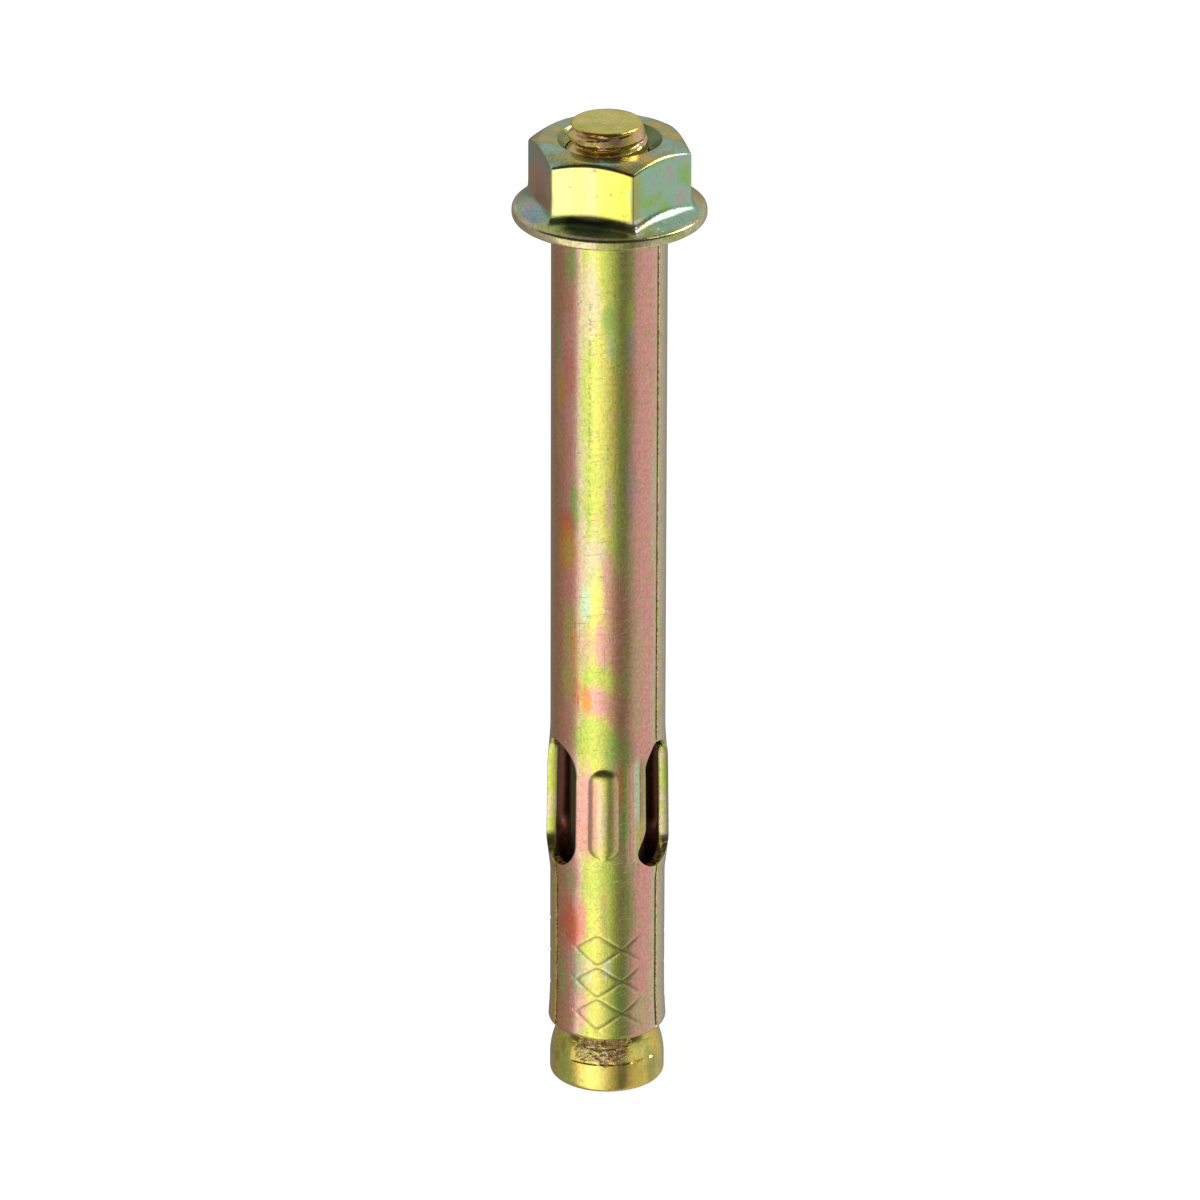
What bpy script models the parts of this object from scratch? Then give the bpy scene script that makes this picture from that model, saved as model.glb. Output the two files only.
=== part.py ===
"""Sleeve anchor with a hex flange nut: stud with expander cone, rolled sleeve, nut.

Metres, +Z up. The origin is the centre of the cone's flat end, and the stud's axis is Z.
The seam of the rolled sleeve faces the front right, and one of its ribs faces the front.
"""

import bmesh
import bpy
from math import acos, cos, pi, radians, sin, sqrt, tan
from mathutils import Matrix

# Stud with its expander cone
STUD_LENGTH = 0.0717
THREAD_RADIUS = 0.00295
THREAD_LENGTH = 0.0300
THREAD_RELIEF = 0.0003
TIP_CHAMFER = 0.00068
CONE_END_ROUND = 0.00045
CONE_BAND = 0.00135
SHOULDER_ROUND = 0.0052
NECK_STEP = 0.00045
CONE_TAPER = radians(10)

# Rolled sleeve
SLEEVE_WALL = 0.00075
SLEEVE_SEAT = 0.0027
EDGE_BREAK = 0.0001
FLARE_DEPTH = 0.00011
FLARE_LENGTH = 0.0030
LIP_ROUND = 0.00045
SEAM_GAP = 0.0002
SLIT_WIDTH = 0.0003
SLIT_LENGTH = 0.01285
STRIP_COUNT = 3

# Windows between the strips, measured along the sleeve's skin
WINDOW_LENGTH = 0.0093
WINDOW_WIDTH = 0.00447

# Outward bow of the strips beside the windows
KNEE_DEPTH = 0.00028
CREST_DEPTH = 0.000215
KNEE_BELOW_WINDOW = 0.0011
KNEE_IN_WINDOW = 0.0012
CREST_IN_WINDOW = 0.0030
TAIL_ABOVE_WINDOW = 0.0008

# Rib pressed into each strip
RIB_LENGTH = 0.0069
RIB_WIDTH = 0.0021
RIB_HEIGHT = 0.0003
RIB_OFFSET = 0.0012

# Hex flange nut
ACROSS_FLATS = 0.0100
NUT_HEIGHT = 0.00565
NUT_PROTRUSION = 0.0013
FLANGE_REACH = 0.0017
FLANGE_EDGE = 0.00085
FLANGE_EDGE_ROUND = 0.0003
FLANGE_SLOPE = radians(27)
HEX_CHAMFER = radians(30)
HEX_CHAMFER_INSET = 0.00025
COUNTERSINK_DEPTH = 0.00045
NUT_CLOCK = radians(-11.6)

# Clearances between the pieces
STUD_GAP = 0.0003
SEAT_GAP = 0.0003
CONE_GAP = 0.0002
THREAD_GAP = 0.0002

# Facets and the distance within which points are welded
TURN_STEPS = 60
RIB_STEPS = 24
ARC_STEPS = 6
END_ARC_STEPS = 12
MERGE = 0.000001

# Sizes and heights that follow: the bolt's cone is as thick as its sleeve, to fit one hole
SHANK_RADIUS = THREAD_RADIUS - THREAD_RELIEF
TIP_RADIUS = THREAD_RADIUS - TIP_CHAMFER
BORE_RADIUS = THREAD_RADIUS + STUD_GAP
SLEEVE_RADIUS = BORE_RADIUS + SLEEVE_WALL
CONE_RADIUS = SLEEVE_RADIUS
NECK_RADIUS = SHANK_RADIUS + NECK_STEP
SHOULDER_ANGLE = acos(1 - (CONE_RADIUS - NECK_RADIUS) / SHOULDER_ROUND)
SHOULDER_TOP = CONE_BAND + SHOULDER_ROUND * sin(SHOULDER_ANGLE)
CONE_TOP = SHOULDER_TOP + NECK_STEP / tan(CONE_TAPER)
THREAD_START = STUD_LENGTH - THREAD_LENGTH
NUT_TOP = STUD_LENGTH - NUT_PROTRUSION
NUT_BOTTOM = NUT_TOP - NUT_HEIGHT
NUT_BORE_RADIUS = THREAD_RADIUS + THREAD_GAP
COUNTERSINK_RADIUS = NUT_BORE_RADIUS + COUNTERSINK_DEPTH
FLANGE_RADIUS = ACROSS_FLATS / 2 + FLANGE_REACH
SLEEVE_TOP = NUT_BOTTOM - SEAT_GAP
SLEEVE_START = CONE_BAND + SLEEVE_SEAT
WINDOW_BOTTOM = SLEEVE_START + SLIT_LENGTH
WINDOW_TOP = WINDOW_BOTTOM + WINDOW_LENGTH
BOW_FOOT = WINDOW_BOTTOM - KNEE_BELOW_WINDOW
BOW_KNEE = WINDOW_BOTTOM + KNEE_IN_WINDOW
BOW_CREST = WINDOW_TOP - CREST_IN_WINDOW
BOW_TAIL = WINDOW_TOP + TAIL_ABOVE_WINDOW
FLARE_TOP = SLEEVE_START + LIP_ROUND + FLARE_LENGTH
FRONT = radians(-90)
STRIP_PITCH = 2 * pi / STRIP_COUNT


def clear_scene():
    for item in list(bpy.data.objects):
        bpy.data.objects.remove(item, do_unlink=True)


def new_collection(name, parent):
    collection = bpy.data.collections.new(name)
    parent.children.link(collection)
    return collection


def new_material(name, colour, roughness, metallic):
    material = bpy.data.materials.new(name)
    material.use_nodes = True
    shader = material.node_tree.nodes["Principled BSDF"]
    shader.inputs["Base Color"].default_value = (*colour, 1.0)
    shader.inputs["Roughness"].default_value = roughness
    shader.inputs["Metallic"].default_value = metallic
    material.diffuse_color = (*colour, 1.0)
    return material


def arc(centre_x, centre_z, radius, start, end, steps):
    """Points of an arc in the XZ plane, angles in radians from +X towards +Z."""
    angles = [start + (end - start) * i / steps for i in range(steps + 1)]
    return [(centre_x + radius * cos(a), centre_z + radius * sin(a)) for a in angles]


def ease(t):
    return t * t * (3 - 2 * t)


def turned(name, profile, collection, steps=TURN_STEPS):
    """Solid of revolution about Z from a profile of (radius, height), top to bottom."""
    mesh = bpy.data.meshes.new(name)
    points = [(x, 0.0, z) for x, z in profile]
    mesh.from_pydata(points, [(i, i + 1) for i in range(len(points) - 1)], [])
    item = bpy.data.objects.new(name, mesh)
    collection.objects.link(item)
    screw = item.modifiers.new("Turn", "SCREW")
    screw.axis = "Z"
    screw.steps = steps
    screw.render_steps = steps
    screw.use_merge_vertices = True
    screw.merge_threshold = MERGE
    return item


def evaluated_mesh(item):
    depsgraph = bpy.context.evaluated_depsgraph_get()
    return bpy.data.meshes.new_from_object(item.evaluated_get(depsgraph))


def combine(item, other, operation):
    """Boolean with one object, or with everything in a collection at once."""
    boolean = item.modifiers.new(other.name, "BOOLEAN")
    if isinstance(other, bpy.types.Collection):
        boolean.operand_type = "COLLECTION"
        boolean.collection = other
    else:
        boolean.object = other
    boolean.operation = operation
    boolean.solver = "EXACT"


def hide_cutter(item):
    item.hide_render = True
    item.display_type = "WIRE"


def weld(mesh, matrix):
    """Joins the doubled points that cuts leave, after moving the mesh by the matrix."""
    work = bmesh.new()
    work.from_mesh(mesh)
    work.transform(matrix)
    bmesh.ops.remove_doubles(work, verts=work.verts, dist=MERGE)
    bmesh.ops.dissolve_degenerate(work, edges=work.edges, dist=MERGE)
    work.to_mesh(mesh)
    work.free()


def finish(item, material, collection):
    """Bakes the modifiers, sets the material and shades the round faces smooth."""
    name = item.name
    mesh = evaluated_mesh(item)
    weld(mesh, item.matrix_world)
    bpy.data.objects.remove(item, do_unlink=True)
    done = bpy.data.objects.new(name, mesh)
    mesh.name = name
    collection.objects.link(done)
    mesh.materials.clear()
    mesh.materials.append(material)
    mesh.shade_smooth()
    mesh.set_sharp_from_angle(angle=radians(30))
    return done


def cone_radius(height):
    """Radius of the bolt at a height above its band: round shoulder, taper, then shank."""
    if height < SHOULDER_TOP:
        return CONE_RADIUS - SHOULDER_ROUND + sqrt(SHOULDER_ROUND ** 2 - (height - CONE_BAND) ** 2)
    return max(SHANK_RADIUS, NECK_RADIUS - (height - SHOULDER_TOP) * tan(CONE_TAPER))


def make_stud(parts):
    """Threaded stud with its shank and the cone formed on its end."""
    profile = [
        (0.0, STUD_LENGTH),
        (TIP_RADIUS, STUD_LENGTH),
        (THREAD_RADIUS, STUD_LENGTH - TIP_CHAMFER),
        (THREAD_RADIUS, THREAD_START),
        (SHANK_RADIUS, THREAD_START - THREAD_RELIEF),
        (SHANK_RADIUS, CONE_TOP),
    ]
    profile += arc(CONE_RADIUS - SHOULDER_ROUND, CONE_BAND, SHOULDER_ROUND, SHOULDER_ANGLE, 0, ARC_STEPS)
    profile += arc(CONE_RADIUS - CONE_END_ROUND, CONE_END_ROUND, CONE_END_ROUND, 0, -pi / 2, ARC_STEPS)
    profile.append((0.0, 0.0))
    return turned("cone_bolt", profile, parts)


def bow(height):
    """How far the strips stand out at a height: a knee at the foot, a long crest, a soft tail."""
    if height <= BOW_FOOT or height >= BOW_TAIL:
        return 0.0
    if height < BOW_KNEE:
        return KNEE_DEPTH * (height - BOW_FOOT) / (BOW_KNEE - BOW_FOOT)
    if height < BOW_CREST:
        return KNEE_DEPTH + (CREST_DEPTH - KNEE_DEPTH) * (height - BOW_KNEE) / (BOW_CREST - BOW_KNEE)
    return CREST_DEPTH * (1 - ease((height - BOW_CREST) / (BOW_TAIL - BOW_CREST)))


def bow_levels():
    """Heights down the bowed stretch at which the profile needs a point."""
    soft = [BOW_TAIL + (BOW_CREST - BOW_TAIL) * i / ARC_STEPS for i in range(ARC_STEPS + 1)]
    return soft + [BOW_KNEE, BOW_FOOT]


def flare(height):
    """Outward flare of the sleeve's open end, strongest at the lip."""
    return FLARE_DEPTH * min(1.0, max(0.0, (FLARE_TOP - height) / FLARE_LENGTH)) ** 2


def flare_levels():
    return [FLARE_TOP - FLARE_LENGTH * i / ARC_STEPS for i in range(ARC_STEPS)]


def sleeve_outside(parts):
    """Solid of the sleeve's outer form, before it is bored."""
    lip_radius = SLEEVE_RADIUS + FLARE_DEPTH - LIP_ROUND
    profile = [
        (0.0, SLEEVE_TOP),
        (SLEEVE_RADIUS - EDGE_BREAK, SLEEVE_TOP),
        (SLEEVE_RADIUS, SLEEVE_TOP - EDGE_BREAK),
    ]
    profile += [(SLEEVE_RADIUS + bow(z), z) for z in bow_levels()]
    profile += [(SLEEVE_RADIUS + flare(z), z) for z in flare_levels()]
    profile += arc(lip_radius, SLEEVE_START + LIP_ROUND, LIP_ROUND, 0, -pi / 2, ARC_STEPS)
    profile.append((0.0, SLEEVE_START))
    return turned("expansion_sleeve", profile, parts)


def sleeve_bore(cutters):
    """Cutter for the sleeve's inside, parallel to the outside but opened over the cone."""
    seat_radius = cone_radius(SLEEVE_START) + CONE_GAP
    opening = (seat_radius - BORE_RADIUS) / (FLARE_TOP - SLEEVE_START)
    above = SLEEVE_TOP + SLEEVE_WALL
    below = SLEEVE_START - SLEEVE_WALL
    profile = [(0.0, above), (BORE_RADIUS, above)]
    profile += [(BORE_RADIUS + bow(z), z) for z in bow_levels()]
    profile += [(BORE_RADIUS, FLARE_TOP), (seat_radius, SLEEVE_START)]
    profile += [(seat_radius + opening * SLEEVE_WALL, below), (0.0, below)]
    hide_cutter(turned("bore_cutter", profile, cutters))


def stadium_outline(width, length, steps):
    """Points of an upright slot with round ends, its foot at height 0."""
    radius = width / 2
    points = arc(0.0, length - radius, radius, 0, pi, steps)
    points += arc(0.0, radius, radius, pi, 2 * pi, steps)
    return points


def flat_plate(name, outline, thickness, collection):
    """Flat plate with the outline in XZ, thick along Y, as a welded mesh."""
    curve = bpy.data.curves.new(name, "CURVE")
    curve.dimensions = "2D"
    curve.fill_mode = "BOTH"
    curve.extrude = thickness / 2
    spline = curve.splines.new("POLY")
    spline.points.add(len(outline) - 1)
    for point, (x, z) in zip(spline.points, outline):
        point.co = (x, z, 0.0, 1.0)
    spline.use_cyclic_u = True
    guide = bpy.data.objects.new(name + "_outline", curve)
    collection.objects.link(guide)
    bpy.context.view_layer.update()
    mesh = evaluated_mesh(guide)
    bpy.data.objects.remove(guide, do_unlink=True)
    work = bmesh.new()
    work.from_mesh(mesh)
    bmesh.ops.remove_doubles(work, verts=work.verts, dist=MERGE)
    bmesh.ops.transform(work, matrix=Matrix.Rotation(radians(90), 4, "X"), verts=work.verts)
    bmesh.ops.recalc_face_normals(work, faces=work.faces)
    work.to_mesh(mesh)
    work.free()
    plate = bpy.data.objects.new(name, mesh)
    collection.objects.link(plate)
    hide_cutter(plate)
    return plate


def roll(plate, inner, outer, angle, foot):
    """Rolls a flat plate round Z, so that its ends stay radial, and sets it at an angle."""
    for vertex in plate.data.vertices:
        x, y, z = vertex.co
        radius = inner if y > 0 else outer
        turn = angle + x / SLEEVE_RADIUS
        vertex.co = (radius * cos(turn), radius * sin(turn), foot + z)
    plate.data.update()


def slot_angles():
    """Directions of the windows, halfway between the strips."""
    return [FRONT + STRIP_PITCH * (i + 0.5) for i in range(STRIP_COUNT)]


def window_cutter(name, angle, cutters):
    outline = stadium_outline(WINDOW_WIDTH, WINDOW_LENGTH, END_ARC_STEPS)
    plate = flat_plate(name, outline, SLEEVE_WALL, cutters)
    roll(plate, BORE_RADIUS / 2, SLEEVE_RADIUS * 1.5, angle, WINDOW_BOTTOM)


def slot_cutter(name, width, foot, top, angle, cutters):
    """Straight saw cut through one side of the sleeve."""
    bpy.ops.mesh.primitive_cube_add(size=1)
    box = bpy.context.active_object
    box.name = name
    box.data.transform(Matrix.Diagonal((SLEEVE_RADIUS, width, top - foot, 1)))
    reach = BORE_RADIUS / 2 + SLEEVE_RADIUS / 2
    box.location = (reach * cos(angle), reach * sin(angle), (foot + top) / 2)
    box.rotation_euler = (0, 0, angle)
    for collection in box.users_collection:
        collection.objects.unlink(box)
    cutters.objects.link(box)
    hide_cutter(box)


def rib_form(name, radius, depth, angle, cutters):
    """Upright capsule whose side stands out of a strip and makes its pressed rib."""
    half = RIB_LENGTH / 2 - RIB_WIDTH / 2
    profile = [(0.0, half + radius)]
    profile += arc(0.0, half, radius, pi / 2, 0, ARC_STEPS)[1:]
    profile += arc(0.0, -half, radius, 0, -pi / 2, ARC_STEPS)[:-1]
    profile.append((0.0, -half - radius))
    item = turned(name, profile, cutters, RIB_STEPS)
    reach = SLEEVE_RADIUS + KNEE_DEPTH - depth
    foot = WINDOW_BOTTOM + RIB_OFFSET
    item.location = (reach * cos(angle), reach * sin(angle), foot + RIB_LENGTH / 2)
    item.rotation_euler = (0, 0, angle + pi / RIB_STEPS)
    hide_cutter(item)


def make_sleeve(parts, cutters):
    """Sleeve rolled from sheet: seam, windows, bowed strips with ribs, slits and flared lip."""
    ribs = new_collection("sleeve_ribs", cutters)
    cuts = new_collection("sleeve_cuts", cutters)
    crown = (RIB_WIDTH ** 2 / 4 + RIB_HEIGHT ** 2) / (2 * RIB_HEIGHT)
    depth = crown - RIB_HEIGHT
    for i in range(STRIP_COUNT):
        angle = FRONT + STRIP_PITCH * i
        rib_form(f"rib_form_{i + 1}", crown, depth, angle, ribs)
        rib_form(f"rib_recess_{i + 1}", crown - SLEEVE_WALL, depth, angle, cuts)
    sleeve_bore(cuts)
    middle = WINDOW_BOTTOM + WINDOW_LENGTH / 2
    for i, angle in enumerate(slot_angles()):
        window_cutter(f"window_cutter_{i + 1}", angle, cuts)
        slot_cutter(f"slit_cutter_{i + 1}", SLIT_WIDTH, 0.0, middle, angle, cuts)
    seam_top = SLEEVE_TOP + SLEEVE_WALL
    slot_cutter("seam_cutter", SEAM_GAP, middle, seam_top, slot_angles()[0], cuts)
    sleeve = sleeve_outside(parts)
    combine(sleeve, ribs, "UNION")
    combine(sleeve, cuts, "DIFFERENCE")
    return sleeve


def hex_form(height, parts):
    """Hexagonal prism of the nut's upper part, its top at the nut's top."""
    corner = ACROSS_FLATS / 2 / cos(radians(30))
    bpy.ops.mesh.primitive_cylinder_add(vertices=6, radius=corner, depth=height)
    prism = bpy.context.active_object
    prism.name = "flange_nut"
    prism.data.transform(Matrix.Rotation(FRONT + NUT_CLOCK, 4, "Z"))
    prism.location = (0, 0, NUT_TOP - height / 2)
    for collection in prism.users_collection:
        collection.objects.unlink(prism)
    parts.objects.link(prism)
    return prism


def chamfer_form(cutters):
    """Wide body with a cone on top, which the hexagon's corners are cut to."""
    chamfer_radius = ACROSS_FLATS / 2 - HEX_CHAMFER_INSET
    wide = FLANGE_RADIUS * 2
    foot = NUT_BOTTOM - FLANGE_EDGE
    profile = [
        (0.0, NUT_TOP),
        (chamfer_radius, NUT_TOP),
        (wide, NUT_TOP - (wide - chamfer_radius) * tan(HEX_CHAMFER)),
        (wide, foot),
        (0.0, foot),
    ]
    form = turned("chamfer_form", profile, cutters)
    hide_cutter(form)
    return form


def flange_form(cutters):
    """Washer flange with a rounded edge and a sloped top that rises into the hexagon."""
    crease = FLANGE_RADIUS - FLANGE_EDGE_ROUND
    slope_end = ACROSS_FLATS / 2 * cos(radians(30))
    slope_top = NUT_BOTTOM + FLANGE_EDGE + (crease - slope_end) * tan(FLANGE_SLOPE)
    upper = NUT_BOTTOM + FLANGE_EDGE - FLANGE_EDGE_ROUND
    lower = NUT_BOTTOM + FLANGE_EDGE_ROUND
    profile = [(0.0, slope_top), (slope_end, slope_top)]
    profile += arc(crease, upper, FLANGE_EDGE_ROUND, pi / 2, 0, ARC_STEPS)
    profile += arc(crease, lower, FLANGE_EDGE_ROUND, 0, -pi / 2, ARC_STEPS)
    profile.append((0.0, NUT_BOTTOM))
    form = turned("flange_form", profile, cutters)
    hide_cutter(form)
    return form


def nut_bore(cutters):
    """Cutter for the nut's hole, countersunk at 45 degrees at both ends."""
    over = SEAT_GAP
    profile = [
        (0.0, NUT_TOP + over),
        (COUNTERSINK_RADIUS + over, NUT_TOP + over),
        (NUT_BORE_RADIUS, NUT_TOP - COUNTERSINK_DEPTH),
        (NUT_BORE_RADIUS, NUT_BOTTOM + COUNTERSINK_DEPTH),
        (COUNTERSINK_RADIUS + over, NUT_BOTTOM - over),
        (0.0, NUT_BOTTOM - over),
    ]
    bore = turned("nut_bore_cutter", profile, cutters)
    hide_cutter(bore)
    return bore


def make_nut(parts, cutters):
    """Hex nut and its washer flange in one piece, chamfered and countersunk."""
    nut = hex_form(NUT_HEIGHT - FLANGE_EDGE / 2, parts)
    combine(nut, chamfer_form(cutters), "INTERSECT")
    combine(nut, flange_form(cutters), "UNION")
    combine(nut, nut_bore(cutters), "DIFFERENCE")
    return nut


def main():
    clear_scene()
    parts = new_collection("sleeve_anchor", bpy.context.scene.collection)
    cutters = new_collection("cutters", bpy.context.scene.collection)
    zinc_olive = new_material("yellow_zinc_stud", (0.55, 0.47, 0.20), 0.32, 1.0)
    zinc_bright = new_material("yellow_zinc_sleeve", (0.66, 0.60, 0.32), 0.25, 1.0)
    zinc_green = new_material("yellow_zinc_nut", (0.50, 0.55, 0.36), 0.28, 1.0)
    made = [
        (make_stud(parts), zinc_olive),
        (make_sleeve(parts, cutters), zinc_bright),
        (make_nut(parts, cutters), zinc_green),
    ]
    bpy.context.view_layer.update()
    for item, material in made:
        finish(item, material, parts)


main()
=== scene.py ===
import bmesh
import bpy
import numpy as np
from math import cos, degrees, pi, radians, sin, sqrt, tan
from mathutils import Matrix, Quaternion, Vector
from mathutils.noise import noise as noiseAt


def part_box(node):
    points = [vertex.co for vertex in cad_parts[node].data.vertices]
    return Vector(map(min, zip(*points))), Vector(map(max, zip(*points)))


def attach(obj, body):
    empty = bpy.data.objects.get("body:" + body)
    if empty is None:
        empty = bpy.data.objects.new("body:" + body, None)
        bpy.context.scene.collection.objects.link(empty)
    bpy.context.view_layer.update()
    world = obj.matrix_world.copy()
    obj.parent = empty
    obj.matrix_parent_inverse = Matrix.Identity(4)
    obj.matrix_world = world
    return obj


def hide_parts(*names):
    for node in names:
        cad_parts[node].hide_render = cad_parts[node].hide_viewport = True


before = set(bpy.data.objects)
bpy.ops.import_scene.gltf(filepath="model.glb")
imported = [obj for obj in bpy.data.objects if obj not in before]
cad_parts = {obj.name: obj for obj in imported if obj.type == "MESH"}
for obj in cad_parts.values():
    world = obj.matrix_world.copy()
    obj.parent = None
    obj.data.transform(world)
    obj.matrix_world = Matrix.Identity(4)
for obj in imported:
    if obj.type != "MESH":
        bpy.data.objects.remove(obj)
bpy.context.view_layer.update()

mm = 0.001  # the frame is in metres, the sizes below are in millimetres
weldDistance = 0.000002
sleeveLow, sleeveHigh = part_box("expansion_sleeve")
studLow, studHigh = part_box("cone_bolt")
nutLow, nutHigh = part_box("flange_nut")


# A socket of a node tree that takes part in Python expressions
class Wire:
    def __init__(self, tree, socket=None):
        self.tree = tree
        self.socket = socket

    # any node: its type, its settings, then values or links of its sockets by name or number
    def node(self, kind, settings=None, sockets=None, out=0):
        made = self.tree.nodes.new(kind)
        for name, value in (settings or {}).items():
            if name == "stops":
                ramp = made.color_ramp.elements
                while len(ramp) > 1:
                    ramp.remove(ramp[-1])
                ramp[0].position, ramp[0].color = value[0][0], (*value[0][1], 1)
                for place, colour in value[1:]:
                    ramp.new(place).color = (*colour, 1)
            else:
                setattr(made, name, value)
        for name, value in (sockets or {}).items():
            entry = made.inputs[name]
            if isinstance(value, Wire):
                self.tree.links.new(value.socket, entry)
            else:
                entry.default_value = value
        return Wire(self.tree, made.outputs[out])

    def math(self, operation, *values):
        sockets = dict(enumerate(values))
        return self.node("ShaderNodeMath", {"operation": operation}, sockets)

    # a Math node with this value first
    def of(self, operation, *others):
        return self.math(operation, self, *others)

    def vector(self, operation, *values):
        sockets = dict(enumerate(values))
        return self.node("ShaderNodeVectorMath", {"operation": operation}, sockets)

    def scaled(self, factor):
        return self.node("ShaderNodeVectorMath", {"operation": "SCALE"}, {0: self, "Scale": factor})

    def __add__(self, other):
        return self.math("ADD", self, other)

    def __radd__(self, other):
        return self.math("ADD", other, self)

    def __sub__(self, other):
        return self.math("SUBTRACT", self, other)

    def __rsub__(self, other):
        return self.math("SUBTRACT", other, self)

    def __mul__(self, other):
        return self.math("MULTIPLY", self, other)

    def __rmul__(self, other):
        return self.math("MULTIPLY", other, self)

    def __truediv__(self, other):
        return self.math("DIVIDE", self, other)

    def __rtruediv__(self, other):
        return self.math("DIVIDE", other, self)

    def least(self, other):
        return self.math("MINIMUM", self, other)

    def most(self, other):
        return self.math("MAXIMUM", self, other)

    def positive(self):
        return self.math("ABSOLUTE", self)

    def nearest(self):
        return self.math("ROUND", self)

    # 0 at low and 1 at high, eased in between
    def eased(self, low, high):
        sockets = {"Value": self, "From Min": low, "From Max": high}
        return self.node("ShaderNodeMapRange", {"interpolation_type": "SMOOTHSTEP"}, sockets)

    # 1 from rise to fall, eased to 0 outside
    def between(self, low, rise, fall, high):
        return self.eased(low, rise) * (1 - self.eased(fall, high))

    # 0 at low and 1 at high, straight in between
    def ramped(self, low, high):
        return self.node("ShaderNodeMapRange", None, {"Value": self, "From Min": low, "From Max": high})

    def parts(self):
        split = self.node("ShaderNodeSeparateXYZ", None, {0: self}).socket.node
        return [Wire(self.tree, output) for output in split.outputs]


def smooth(t):
    t = np.clip(t, 0, 1)
    return t * t * (3 - 2 * t)


def newTree(name, sizes):
    tree = bpy.data.node_groups.new(name, "GeometryNodeTree")
    tree.interface.new_socket(name="Geometry", in_out="INPUT", socket_type="NodeSocketGeometry")
    tree.interface.new_socket(name="Geometry", in_out="OUTPUT", socket_type="NodeSocketGeometry")
    for size in sizes:
        tree.interface.new_socket(name=size, in_out="INPUT", socket_type="NodeSocketFloat")
    entry = tree.nodes.new("NodeGroupInput")
    wires = {socket.name: Wire(tree, socket) for socket in entry.outputs if socket.name}
    return tree, wires


def endTree(tree, geometry, material):
    plain = geometry.node("GeometryNodeRealizeInstances", None, {0: geometry})
    dressed = plain.node("GeometryNodeSetMaterial", None, {0: plain, "Material": material})
    leave = tree.nodes.new("NodeGroupOutput")
    tree.links.new(dressed.socket, leave.inputs[0])


# runs a tree on an object with the sizes given, and leaves a plain mesh
def grow(item, tree, sizes):
    modifier = item.modifiers.new(tree.name, "NODES")
    modifier.node_group = tree
    for socket in tree.interface.items_tree:
        if socket.in_out == "INPUT" and socket.name in sizes:
            modifier[socket.identifier] = float(sizes[socket.name])
    bpy.context.view_layer.update()
    depsgraph = bpy.context.evaluated_depsgraph_get()
    mesh = bpy.data.meshes.new_from_object(item.evaluated_get(depsgraph))
    item.modifiers.remove(modifier)
    item.data = mesh
    return item


def newPiece(name, mesh, material):
    mesh.name = name
    mesh.materials.clear()
    mesh.materials.append(material)
    item = bpy.data.objects.new(name, mesh)
    bpy.context.scene.collection.objects.link(item)
    return item


def shadeSmooth(item, sharpAngle):
    item.data.shade_smooth()
    item.data.set_sharp_from_angle(angle=sharpAngle)


def meshFrom(points, faces):
    mesh = bpy.data.meshes.new("work")
    mesh.from_pydata([tuple(p) for p in points], [], [tuple(f) for f in faces])
    return mesh


# merges what touches, turns the faces outwards and counts the edges without two faces
def closed(mesh):
    work = bmesh.new()
    work.from_mesh(mesh)
    bmesh.ops.remove_doubles(work, verts=work.verts, dist=weldDistance)
    bmesh.ops.dissolve_degenerate(work, edges=work.edges, dist=weldDistance / 2)
    bmesh.ops.recalc_face_normals(work, faces=work.faces)
    openEdges = sum(1 for edge in work.edges if len(edge.link_faces) != 2)
    if work.calc_volume(signed=True) < 0:
        bmesh.ops.reverse_faces(work, faces=work.faces)
    work.to_mesh(mesh)
    print("  faces", len(work.faces), "open edges", openEdges)
    work.free()
    return mesh


# faces between rings of points, one ring after another, each ring closed on itself
def ringFaces(rings, columns):
    faces = []
    for ring in range(rings - 1):
        for i in range(columns):
            j = (i + 1) % columns
            low, high = ring * columns, (ring + 1) * columns
            faces.append((low + i, low + j, high + j, high + i))
    return faces


# Plating: tints of yellow zinc, as thin films show them one after another
tints = {
    "lime": (0.60, 0.68, 0.12),
    "yellow": (0.80, 0.74, 0.16),
    "gold": (0.72, 0.52, 0.16),
    "cream": (0.78, 0.64, 0.38),
    "peach": (0.80, 0.52, 0.32),
    "rose": (0.88, 0.42, 0.35),
    "mauve": (0.76, 0.34, 0.22),
    "coral": (0.88, 0.34, 0.26),
    "orchid": (0.66, 0.42, 0.44),
    "ivory": (0.92, 0.88, 0.66),
    "linen": (0.70, 0.58, 0.38),
    "copper": (0.70, 0.35, 0.16),
    "orange": (0.95, 0.38, 0.07),
    "red": (0.88, 0.20, 0.10),
    "olive": (0.50, 0.50, 0.16),
    "green": (0.38, 0.60, 0.14),
    "teal": (0.40, 0.62, 0.45),
    "tan": (0.68, 0.54, 0.26),
    "brown": (0.18, 0.12, 0.06),
    "bronze": (0.34, 0.26, 0.10),
    "moss": (0.22, 0.28, 0.10),
    "umber": (0.50, 0.28, 0.12),
    "oxblood": (0.42, 0.15, 0.10),
    "mint": (0.66, 0.82, 0.54),
    "pine": (0.10, 0.14, 0.06),
    "pale": (0.90, 0.88, 0.32),
    "canary": (0.94, 0.80, 0.12),
    "shade_black": (0.10, 0.07, 0.05),
    "straw": (0.90, 0.80, 0.20),
    "amber": (0.84, 0.62, 0.14),
    "sage": (0.42, 0.48, 0.30),
    "slate": (0.36, 0.47, 0.52),
}


def newMaterial(name):
    material = bpy.data.materials.new(name)
    material.use_nodes = True
    tree = material.node_tree
    shader = tree.nodes["Principled BSDF"]
    return material, tree, shader


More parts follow.
